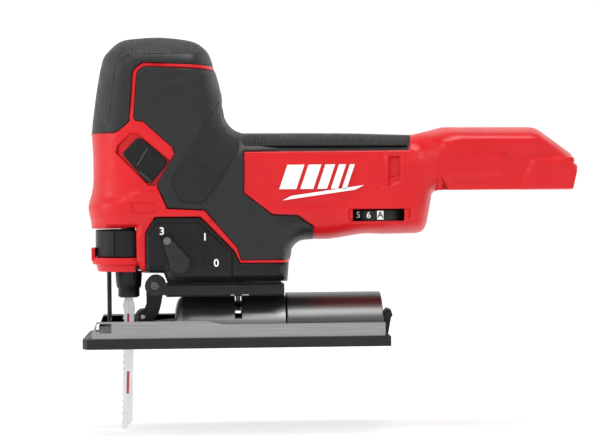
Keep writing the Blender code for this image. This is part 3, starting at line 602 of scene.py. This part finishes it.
redShell = {
    "edge": 0.9,
    "wall": 3.0,
    "rearWall": 5.3,
    "switchRecess": [
        (-74.8, 119.8), (-73.8, 124.2), (-65.6, 131.9), (-61.0, 131.7), (-41.3, 115.0), (-40.7, 111.4),
        (-50.5, 99.2), (-54.6, 99.4),
    ],
    "switchDepth": 4.2,
    "nameplate": [(-65.2, 89.3), (-50.3, 89.3), (-50.3, 82.7), (-65.2, 82.7)],
    "ventRecess": [(93.1, 117.6), (102.1, 117.6), (102.1, 100.6), (92.6, 96.6)],
    "ventSlot": [(94.4, 116.2), (99.9, 116.2), (99.9, 104.2), (94.4, 102.5)],
    "dialRecess": [(67.6, 84.4), (107.0, 84.4), (106.2, 77.6), (102.8, 74.6), (70.9, 74.6), (68.2, 77.6)],
    "dialWindow": [(70.9, 83.8), (102.9, 83.8), (102.9, 76.2), (70.9, 76.2)],
    "screws": [(-80.5, 118), (-32, 162), (14, 60), (57, 73.5), (113, 120), (186, 123.5)],
    "screwRadius": 3.5,
    "plungerOpening": 14.0,
    "noseSlot": ((bladeX, -22.8, 46.5), (-53, 22.8, 94)),
    "bayOpening": ((125, -1, 85), (230, 33.6, 112)),
    "bayRoof": ((122.6, 0.15, 112), (206.5, 36.4, 114.4)),
    "bayFront": ((122.6, 0.15, 95), (125, 36, 112.5)),
    "bayRail": ((136, 31.2, 96.6), (206, 34.2, 99.8)),
}
noseSteps = [
    {
        "line": [(-96, 90.2), (-86, 90.6), (-73.2, 90.6), (-66.8, 93.2), (-59.9, 96.6), (-44, 96.4)],
        "width": 3.6, "height": -1.7,
    },
    {"line": [(-96, 77.6), (-83.6, 77.9), (-50, 77.9)], "width": 3.4, "height": 1.3},
    {
        "line": [(-72, 98.4), (-76.4, 103), (-79.4, 109), (-80.8, 118), (-79, 127), (-74, 134)],
        "width": 3.2, "height": -0.9, "soft": True,
    },
]
barrelSteps = [
    {
        "line": [(0, 97.6), (12.6, 92.4), (24.6, 85.4), (58.3, 84.8), (90.6, 96.8), (92.2, 128)],
        "width": 2.2, "height": -1.3,
    },
    {"line": [(-5, 118.4), (92.4, 118.2)], "width": 1.8, "height": 0.9},
    {
        "line": [
            (112, 117.4), (126.2, 118.2), (150.2, 119.0), (164.6, 116.0), (164.4, 114.2), (161.2, 104.6),
            (112, 101.8),
        ],
        "width": 3.2, "height": -2.0, "until": (118, 148),
    },
    {"line": [(215, 115.2), (181.4, 113.6), (176.6, 104.4), (173.0, 90)], "width": 4.4, "height": 2.6},
]
noseLine = stretchOf((-59.5, 44.8), (-90.5, 130)) + seams["cap"] + seams["accentOuter"] + seams["accentInner"]
noseLine += seams["bezel"] + seams["grip"] + seams["cover"]
barrelLine = stretchOf((129.4, 134.6), (57.3, 64.8)) + seams["barrel"] + seams["barrelEnd"] + [(111.2, 130.1)]


def screwHoles():
    bm = None
    for x, z in redShell["screws"]:
        bm = bar((x, 8, z), (x, 46, z), redShell["screwRadius"], 24, bm)
    return bm


for word, side in halves:
    lower = word.lower()
    nose = carvePanel(noseLine, side, {
        "edge": redShell["edge"], "wall": redShell["wall"], "steps": noseSteps,
        "recesses": [
            {"corners": redShell["switchRecess"], "wall": 0.9, "depth": redShell["switchDepth"]},
            {"corners": redShell["nameplate"], "wall": 0.35, "depth": 0.7},
        ],
    })
    nosePiece = finishPiece("noseShell" + word, nose, red, "housing", ("housing_" + lower,))
    subtract(nosePiece, bar((bladeX, 0, 60), (bladeX, 0, 95), redShell["plungerOpening"], 40))
    subtract(nosePiece, block(*redShell["noseSlot"]))
    recesses = [
        {"corners": redShell["ventRecess"], "wall": 1.3, "depth": 1.2},
        {"corners": redShell["ventSlot"], "wall": 0.25, "depth": 1.5},
    ]
    if side < 0:
        recesses.append({"corners": redShell["dialRecess"], "wall": 1.3, "depth": 1.5})
    barrel = carvePanel(barrelLine, side, {
        "edge": redShell["edge"], "wall": redShell["wall"], "rearWall": redShell["rearWall"],
        "steps": barrelSteps, "recesses": recesses,
    })
    barrelPiece = finishPiece("barrelShell" + word, barrel, red, "housing")
    subtract(barrelPiece, sideBlock(*redShell["bayOpening"], side))
    if side < 0:
        subtract(barrelPiece, plate(redShell["dialWindow"], -12, -40))
    if side > 0:
        subtract(nosePiece, screwHoles())
        subtract(barrelPiece, screwHoles())
    bay = sideBlock(*redShell["bayRoof"], side)
    sideBlock(*redShell["bayFront"], side, bm=bay)
    finishPiece("batteryBayWalls" + word, bay, red, "housing")
    rail = sideBlock(*redShell["bayRail"], side)
    roundEdges(finishPiece("batteryRail" + word, rail, red, "housing"), 0.5)
print("red shell ready")

mouldings = {
    "edge": 1.3,
    "wall": 2.4,
    "textureRise": 0.45,
    "crown": [
        (-90.0, 137.6), (-79.6, 137.9), (-78.2, 139.6), (-76.4, 154), (-73.9, 173.0), (-66.9, 179.8),
        (-18.9, 180.2),
    ],
    "palm": [
        (-9.6, 150), (-10.6, 153.4), (-39.6, 104.3), (-40.4, 101.3), (-36.2, 91.0), (-33.6, 88.6),
        (-21.9, 88.5), (-19.8, 89.8), (-2.4, 114.7), (1.6, 121.6), (1.6, 131.0), (-0.9, 132.4),
        (-4.6, 135.8), (-7.6, 141.5), (-8.7, 147),
    ],
    "palmRise": 1.0,
    "strip": [
        (4.2, 131.0), (3.4, 124.4), (5.0, 123.3), (105.6, 122.8), (107.4, 129.4), (75, 130.4), (40, 130.9),
    ],
}
capLine = stretchOf((-90.7, 132.2), (-14.8, 175.5)) + seams["accentOuter"][::-1] + seams["cap"][::-1][:-1]
gripLine = stretchOf((-12.9, 169.9), (75, 131.1)) + seams["barrelEnd"] + seams["barrel"][::-1]
gripLine += stretchOf((41.8, 64.4), (33.8, 58.6)) + seams["grip"][::-1] + seams["bezel"][::-1]
gripLine += seams["accentInner"][:0:-1]
coverLine = seams["cover"] + [(-46.5, 44.6), (-44.5, 38.8), (31, 38.8)]
crownLine = stretchOf((-89.7, 141), (-21.1, 186)) + mouldings["crown"][::-1]
gripSteps = [
    {
        "line": [(-54, 156.8), (-50.6, 158.2), (-39.3, 162.0), (-25.5, 165.0), (-5, 167.0)],
        "width": 2.6, "height": 1.5, "until": (-54, -47), "soft": True,
    },
    {
        "line": [(10, 68.0), (18.5, 73.0), (27, 76.2), (36, 76.4), (50, 73.0)],
        "width": 5.0, "height": -2.0, "until": (14, 26), "soft": True,
    },
]
palmSteps = [
    {"line": [(-30, 119.5), (-21.8, 116.4), (-14.5, 112.5), (-2, 108.5)], "width": 2.4, "height": -0.5},
]
coverInner = [(-55.6, 68.9), (-49.8, 76.7), (-24.0, 76.7), (-3.6, 57.6), (-3.6, 41.4), (-55.6, 41.4)]
orbit = {
    "pivot": (-35.8, 52.1),
    "hole": 4.0,
    "tip": 119,  # the angle of the lever's tip round the pivot
    "reach": 15.5,
    "track": (14.4, 19.6),  # inner and outer radius of the groove in the cover
    "trackFloor": 31.7,
    "sweep": (-4, 128),
    "hub": 6.3,
    "point": 2.8,
    "pointCap": 2.3,
}


def trackCutter(side):
    inner, outer = orbit["track"]
    start, end = orbit["sweep"]
    arc = arcPoints(orbit["pivot"], outer, start, end, 26) + arcPoints(orbit["pivot"], inner, end, start, 22)
    return plate(arc, side * orbit["trackFloor"], side * 40)


for word, side in halves:
    lower = word.lower()
    cap = carvePanel(capLine, side, {"edge": mouldings["edge"], "wall": mouldings["wall"], "step": 1.9})
    finishPiece("headCap" + word, cap, rubber, "housing", ("head_cap_" + lower,))
    crown = carvePanel(crownLine, side, {
        "edge": 0.8, "drop": 0.9, "wall": 1.6, "lift": mouldings["textureRise"], "step": 1.9,
    })
    finishPiece("headGrip" + word, crown, crownRubber, "housing")
    grip = carvePanel(gripLine, side, {
        "edge": mouldings["edge"], "wall": mouldings["wall"], "steps": gripSteps,
    })
    gripPiece = finishPiece("mainGrip" + word, grip, rubber, "housing", ("main_grip_" + lower,))
    palm = carvePanel(mouldings["palm"], side, {
        "edge": 0.8, "drop": 0.9, "wall": 1.6, "lift": mouldings["palmRise"], "steps": palmSteps,
    })
    finishPiece("palmGrip" + word, palm, palmRubber, "housing")
    strip = carvePanel(mouldings["strip"], side, {
        "edge": 0.7, "drop": 0.8, "wall": 1.4, "lift": mouldings["textureRise"],
    })
    finishPiece("barrelStrip" + word, strip, stripRubber, "housing")
    cover = carvePanel(coverLine, side, {
        "edge": 2.0, "wall": 2.0, "lift": 0.6,
        "recesses": [{"corners": coverInner, "wall": 0.8, "depth": -1.2}],
    })
    coverPiece = finishPiece(
        "gearCover" + word, cover, coverPlastic, "housing", ("gear_cover_" + lower,)
    )
    if side < 0:
        pivotX, pivotZ = orbit["pivot"]
        subtract(coverPiece, trackCutter(side))
        subtract(coverPiece, bar((pivotX, -20, pivotZ), (pivotX, -40, pivotZ), orbit["hole"]))
    else:
        subtract(gripPiece, screwHoles())
        subtract(coverPiece, screwHoles())
print("black mouldings ready")

softened = {  # copies of solids: each one's finish and how far its edges are rounded
    "shoe": ("shoeMetal", 0.6), "shoe_cover": ("shoeSkin", 1.2), "shoe_bracket": ("bracketMetal", 0.6),
    "nose_ring": ("redPlastic", 0.7), "nose_guide": ("guideMetal", 0.4), "roller_arm": ("blackPlastic", 0.7),
    "blade_clamp": ("darkSteel", 0.3), "clamp_collar": ("blackPlastic", 0.5),
    "terminal_block": ("blackPlastic", 0.5), "tilt_barrel": ("barrelMetal", 0.5),
    "dust_tube": ("tubeMetal", 0.5), "guide_roller": ("darkSteel", 0.2), "blade": ("bladePaint", 0.15),
}
meshPoint, flatAngle = 2e-6, 1.5  # metres and degrees, when a solid's triangles are merged back into faces
for node, (finishName, width) in softened.items():
    source = cadNodes[node]
    bm = bmesh.new()
    bm.from_mesh(source.data)
    bmesh.ops.remove_doubles(bm, verts=bm.verts, dist=meshPoint)
    bmesh.ops.dissolve_limit(bm, angle_limit=math.radians(flatAngle), verts=bm.verts, edges=bm.edges)
    bmesh.ops.scale(bm, vec=(1000, 1000, 1000), verts=bm.verts)  # finishPiece takes millimetres
    words = node.split("_")
    name = words[0] + "".join(w.capitalize() for w in words[1:]) + "Soft"
    finish = bpy.data.materials[finishName]
    piece = finishPiece(name, bm, finish, body_of(source)[0], (node,), 35)
    roundEdges(piece, width, 2, 40)

releaseLever = {
    "centre": (bladeX, 0),
    "inner": 18.5,
    "outer": 20.4,
    "low": 55.3,
    "high": 72.1,
    "sweep": (120, 287),  # where it starts and ends round the nose, in degrees
    "rib": 246,
}
curve = arcPoints(releaseLever["centre"], releaseLever["outer"], *releaseLever["sweep"], 44)
curve += arcPoints(releaseLever["centre"], releaseLever["inner"], *releaseLever["sweep"][::-1], 44)
bm = bmesh.new()
face = bm.faces.new([bm.verts.new((x, y, releaseLever["low"])) for x, y in curve])
pushed = bmesh.ops.extrude_face_region(bm, geom=[face], use_keep_orig=True)
raised = [v for v in pushed["geom"] if isinstance(v, bmesh.types.BMVert)]
bmesh.ops.translate(bm, vec=(0, 0, releaseLever["high"] - releaseLever["low"]), verts=raised)
wrapped = finishPiece("releaseLever", bm, darkPlastic, "release_lever", ("release_lever",), 50)
roundEdges(wrapped, 0.6, 3, 60)
ribReach, ribTurn = releaseLever["outer"] - 0.15, releaseLever["rib"]
spot = arcPoints(releaseLever["centre"], ribReach, ribTurn, ribTurn, 2)[0]
rib = bar((*spot, releaseLever["low"] + 1), (*spot, releaseLever["high"] - 1), 0.9, 16)
roundEdges(finishPiece("releaseRib", rib, darkPlastic, "release_lever"), 0.3)
print("softened pieces ready")

switchPad = {
    "corners": [
        (-70.0, 118.4), (-69.4, 120.4), (-61.6, 128.3), (-58.4, 128.4), (-43.2, 115.2), (-43.0, 112.4),
        (-52.4, 101.2), (-55.4, 101.2),
    ],
    "ridge": [(-54.9, 122.8), (-61.9, 111.0), (-52.8, 102.4), (-44.4, 112.4), (-44.6, 114.6)],
    "lines": [((-54.9, 122.4), (-61.5, 111.6)), ((-60.0, 108.2), (-53.0, 101.9))],
    "lineHalf": 0.22,
    "near": 27.7,
    "far": 30.2,
    "raised": 0.8,
}
for word, side in halves:
    pad = plate(switchPad["corners"], side * switchPad["near"], side * switchPad["far"])
    solid = "switch_pad_" + word.lower()
    padPiece = finishPiece("switchPad" + word, pad, switchPlastic, "power_switch", (solid,))
    roundEdges(padPiece, 0.7)
    top = switchPad["far"] + switchPad["raised"]
    raised = plate(switchPad["ridge"], side * (switchPad["far"] - 0.6), side * top)
    roundEdges(finishPiece("switchRidge" + word, raised, switchPlastic, "power_switch"), 0.35)
    # each thin pale bar is a painted highlight along a ridge edge of the switch pad, not a part of the pad
    for number, line in enumerate(switchPad["lines"], 1):
        (startX, startZ), (endX, endZ) = line
        thin = Vector((endZ - startZ, 0, startX - endX)).normalized() * switchPad["lineHalf"]
        corners = [(startX + thin.x, startZ + thin.z), (endX + thin.x, endZ + thin.z)]
        corners += [(endX - thin.x, endZ - thin.z), (startX - thin.x, startZ - thin.z)]
        reach = top if number == 1 else switchPad["far"]
        mark = plate(corners, side * (reach - 0.3), side * (reach + 0.12))
        finishPiece(f"switchHighlightLine{word}{number}", mark, edgeRubber, "power_switch")

pivotX, pivotZ = orbit["pivot"]
tipX = pivotX + orbit["reach"] * math.cos(math.radians(orbit["tip"]))
tipZ = pivotZ + orbit["reach"] * math.sin(math.radians(orbit["tip"]))
leverLine = arcPoints((pivotX, pivotZ), orbit["hub"], orbit["tip"] + 95, orbit["tip"] + 265, 24)
leverLine += arcPoints((tipX, tipZ), orbit["point"], orbit["tip"] - 85, orbit["tip"] + 85, 12)
lever = plate(leverLine, -33.3, -37.2)
roundEdges(finishPiece("orbitLever", lever, knobPlastic, "orbit_lever", ("orbit_lever",)), 0.8)
tipLine = arcPoints((tipX, tipZ), orbit["pointCap"], orbit["tip"] - 85, orbit["tip"] + 265, 24)
tip = plate(tipLine, -36.6, -37.9)
roundEdges(finishPiece("orbitTip", tip, edgeRubber, "orbit_lever"), 0.3)


def figure(name, text, size, middle, depth, material, bodyName, wrap=None, bold=0.0):
    # a flat digit that faces -Y, laid flat or wrapped round a wheel of the given centre and radius
    curve = bpy.data.curves.new(name, "FONT")
    curve.body = text
    curve.size = size
    curve.extrude = 0.12
    curve.offset = bold
    curve.align_x = "CENTER"
    curve.align_y = "CENTER"
    holder = bpy.data.objects.new(name, curve)
    bpy.context.scene.collection.objects.link(holder)
    graph = bpy.context.evaluated_depsgraph_get()
    mesh = bpy.data.meshes.new_from_object(holder.evaluated_get(graph))
    bpy.data.objects.remove(holder)
    bm = bmesh.new()
    bm.from_mesh(mesh)
    bmesh.ops.remove_doubles(bm, verts=bm.verts, dist=onePoint)
    bmesh.ops.rotate(bm, matrix=Matrix.Rotation(math.pi / 2, 3, "X"), verts=bm.verts)
    if wrap:
        centre, radius, turn = wrap
        for vertex in bm.verts:
            angle = vertex.co.x / radius + math.radians(turn)
            reach, height = radius - vertex.co.y, middle[1] + vertex.co.z
            vertex.co = (centre[0] + reach * math.sin(angle), centre[1] - reach * math.cos(angle), height)
    else:
        bmesh.ops.translate(bm, vec=(middle[0], depth, middle[1]), verts=bm.verts)
    return finishPiece(name, bm, material, bodyName)


settings = {
    "figureThree": ("3", (-46.6, 71.4)),
    "figureOne": ("1", (-20.4, 67.6)),
    "figureZero": ("0", (-13.6, 51.6)),
}
for name, (text, spot) in settings.items():
    figure(name, text, 6.4, spot, -33.1, white, "housing", bold=0.12)
print("switch and orbit lever ready")

dial = {"centre": (88, -4), "radius": 20.5, "low": 76.4, "high": 83.3, "ribs": 34, "pitch": 20.9}
wheelProfile = [
    (dial["low"], 2.2), (dial["low"], dial["radius"] - 1.3), (dial["low"] + 0.7, dial["radius"] - 0.6),
    (dial["high"] - 0.7, dial["radius"] - 0.6), (dial["high"], dial["radius"] - 1.3), (dial["high"], 2.2),
]
wheel = turnProfile(wheelProfile, (*dial["centre"], 0), (0, 0, 1), 72)
for number in range(dial["ribs"]):
    angle = math.tau * (number + 0.5) / dial["ribs"]
    if abs((math.degrees(angle) - 270 + 180) % 360 - 180) < 130 and number % 2:
        continue  # fewer ribs between the figures
    inner, outer = dial["radius"] - 1.0, dial["radius"] - 0.25
    ridge = block((inner, -0.22, dial["low"] + 0.6), (outer, 0.22, dial["high"] - 0.6))
    bmesh.ops.rotate(ridge, matrix=Matrix.Rotation(angle, 3, "Z"), verts=ridge.verts)
    bmesh.ops.translate(ridge, vec=(*dial["centre"], 0), verts=ridge.verts)
    spare = bpy.data.meshes.new("rib")
    ridge.to_mesh(spare)
    ridge.free()
    wheel.from_mesh(spare)
    bpy.data.meshes.remove(spare)
wheelPlastic = blackPlastic("wheelPlastic", 0.010, 0.4)
finishPiece("speedWheel", wheel, wheelPlastic, "speed_dial", ("speed_dial",))
middle = (0, (dial["low"] + dial["high"]) / 2)
wrapRadius = dial["radius"] - 0.5
centreX, centreY = dial["centre"]
badgePlate = block((-2.0, -0.10, middle[1] - 2.7), (2.0, 0.25, middle[1] + 2.7))
bmesh.ops.subdivide_edges(badgePlate, edges=badgePlate.edges[:], cuts=3, use_grid_fill=True)
for vertex in badgePlate.verts:
    reach, angle = wrapRadius - vertex.co.y, vertex.co.x / wrapRadius
    vertex.co = (centreX + reach * math.sin(angle), centreY - reach * math.cos(angle), vertex.co.z)
finishPiece("dialBadge", badgePlate, white, "speed_dial")
for number, text in enumerate("A654321"):
    turn = -number * dial["pitch"]
    ink = darkPlastic if text == "A" else white
    wheelRadius = wrapRadius + (0.15 if text == "A" else 0.0)
    wrap = (dial["centre"], wheelRadius, turn)
    figure("dialFigure" + text, text, 5.6, middle, 0, ink, "speed_dial", wrap, 0.06)
print("speed dial ready")

stripes = {
    "bars": [(25.5, 10.5), (38.5, 8.0), (49.0, 6.0), (57.4, 4.4), (64.2, 3.0)],
    "low": 96.5, "high": 111.5, "slant": 5.2,
    "under": [(27.5, 89.6), (72.5, 95.8), (78.0, 98.6), (33.0, 92.4)],
}


def printedBar(name, line, side, material):
    patch = carvePanel(line, side, {"edge": 0.12, "drop": 0.0, "wall": 0.5, "lift": 0.12, "steps": barrelSteps})
    return finishPiece(name, patch, material, "housing")


for word, side in halves:
    for number, (start, width) in enumerate(stripes["bars"], 1):
        low, high, slant = stripes["low"], stripes["high"], stripes["slant"]
        line = [(start, low), (start + width, low), (start + width + slant, high), (start + slant, high)]
        printedBar(f"printedBar{word}{number}", line, side, white)
    printedBar(f"printedUnderline{word}", stripes["under"], side, white)
print("printed bars ready")

bladePrint = {
    "bladeBar": [(-70.4, -17), (-68.8, -17), (-69.3, -31), (-70.9, -31)],
    "shankBar": [(-69.9, 19.4), (-68.5, 19.4), (-68.6, 14.2), (-70.0, 14.2)],
}
bladeFace, printFace = 0.68, 0.76
for word, side in halves:
    for name, corners in bladePrint.items():
        mark = plate(corners, side * bladeFace, side * printFace)
        finishPiece(name + word, mark, bladeMark, "plunger")
print("blade print ready")

keptNodes = {
    "steel": "clamp_pin clamp_spring drive_gear gear_shaft crank_pin gear_bearing motor_pinion motor_shaft "
             "rotor_core motor_bearing_front motor_bearing_rear orbit_cam_shaft roller_pin bevel_bolt "
             "housing_screw_1 housing_screw_2 housing_screw_3 housing_screw_4 housing_screw_5 housing_screw_6",
    "darkSteel": "plunger roller_arm_pin stator bevel_clamp_plate",
    "blackWire": "wire_guard",
    "shoeMetal": "gear_case",
    "windingCopper": "stator_winding_front stator_winding_rear",
    "bushBrass": "plunger_bush_lower plunger_bush_upper",
    "blackPlastic": "cooling_fan switch_link switch_module",
    "circuitBoard": "control_module",
}
for finishName, names in keptNodes.items():
    for node in names.split():
        mesh = cadNodes[node].data
        mesh.materials.clear()
        mesh.materials.append(bpy.data.materials[finishName])
print("kept nodes finished")

studio = {
    "floorTone": 0.78,
    "floorGlow": 0.42,
    "floorZ": -0.0545,
    "wallTone": 0.8,
    "wallGlow": 0.4,
    "airGlow": 0.22,
    "lamps": [  # name, place, side and power
        ("keyLight", (-0.8, -0.85, 1.1), 0.6, 3.9),
        ("fillLight", (0.9, -1.4, 0.45), 0.9, 0.6),
        ("topLight", (0.1, -0.1, 1.3), 0.7, 10.8),
        ("sideLight", (-1.3, -0.25, 0.35), 0.6, 2.6),
    ],
    "target": (0.0393, 0, 0.0744),  # what the camera and the lamps aim at
    "distance": 1.2,
    "turn": -2.5,
    "lift": 1.2,
    "roll": 0.55,
    "lens": 114.3,
}


def glowingPaper(name, tone, glow):
    finish = baseFinish(name, (tone, tone, tone), 0.9, specular=0.1)
    varyColour(finish, speckle(finish, 3, 2), (tone - 0.01,) * 3, (tone + 0.01,) * 3)
    shader = finish.node_tree.nodes["Principled BSDF"]
    shader.inputs["Emission Color"].default_value = (1, 1, 1, 1)
    shader.inputs["Emission Strength"].default_value = glow
    return finish


def addStage(name, profile, material):
    bm = bmesh.new()
    points = [bm.verts.new((radius, 0, height)) for radius, height in profile]
    edges = [bm.edges.new(pair) for pair in zip(points, points[1:])]
    bmesh.ops.spin(
        bm, geom=points + edges, cent=(0, 0, 0), axis=(0, 0, 1), angle=math.tau, steps=96, use_merge=True
    )
    bmesh.ops.remove_doubles(bm, verts=bm.verts, dist=onePoint)
    bmesh.ops.recalc_face_normals(bm, faces=bm.faces)
    mesh = bpy.data.meshes.new(name)
    bm.to_mesh(mesh)
    bm.free()
    mesh.materials.append(material)
    mesh.shade_smooth()
    piece = bpy.data.objects.new(name, mesh)
    bpy.context.scene.collection.objects.link(piece)


low = studio["floorZ"]
paper = glowingPaper("paper", studio["floorTone"], studio["floorGlow"])
wallPaper = glowingPaper("wallPaper", studio["wallTone"], studio["wallGlow"])
addStage("studioFloor", [(0, low), (1.2, low), (2.4, low)], paper)
wallLine = [(2.4, low), (2.8, low + 0.06), (3.1, low + 0.3), (3.2, low + 0.8), (3.2, 3.2)]
addStage("studioWall", wallLine, wallPaper)

world = bpy.data.worlds.new("studio")
bpy.context.scene.world = world
world.use_nodes = True
world.node_tree.nodes["Background"].inputs["Color"].default_value = (1, 1, 1, 1)
world.node_tree.nodes["Background"].inputs["Strength"].default_value = studio["airGlow"]
for name, spot, size, power in studio["lamps"]:
    lamp = bpy.data.lights.new(name, "AREA")
    lamp.size = size
    lamp.energy = power
    holder = bpy.data.objects.new(name, lamp)
    holder.visible_camera = False
    holder.location = spot
    aim = Vector(studio["target"]) - Vector(spot)
    holder.rotation_euler = aim.to_track_quat("-Z", "Y").to_euler()
    bpy.context.scene.collection.objects.link(holder)

turn, lift, roll = (math.radians(studio[k]) for k in ("turn", "lift", "roll"))
target = Vector(studio["target"])
away = Vector((math.sin(turn) * math.cos(lift), -math.cos(turn) * math.cos(lift), math.sin(lift)))
rightWay = (-away).cross(Vector((0, 0, 1))).normalized()
upWay = rightWay.cross(-away)
right = rightWay * math.cos(roll) - upWay * math.sin(roll)
up = rightWay * math.sin(roll) + upWay * math.cos(roll)
lens = bpy.data.cameras.new("camera")
lens.lens = studio["lens"]
lens.sensor_width = 36
lens.clip_start = 0.01
camera = bpy.data.objects.new("camera", lens)
facing = Matrix((right, up, away)).transposed().to_4x4()
camera.matrix_world = Matrix.Translation(target + away * studio["distance"]) @ facing
bpy.context.scene.collection.objects.link(camera)
bpy.context.scene.camera = camera
bpy.context.scene.view_settings.view_transform = "Standard"
print("studio ready")
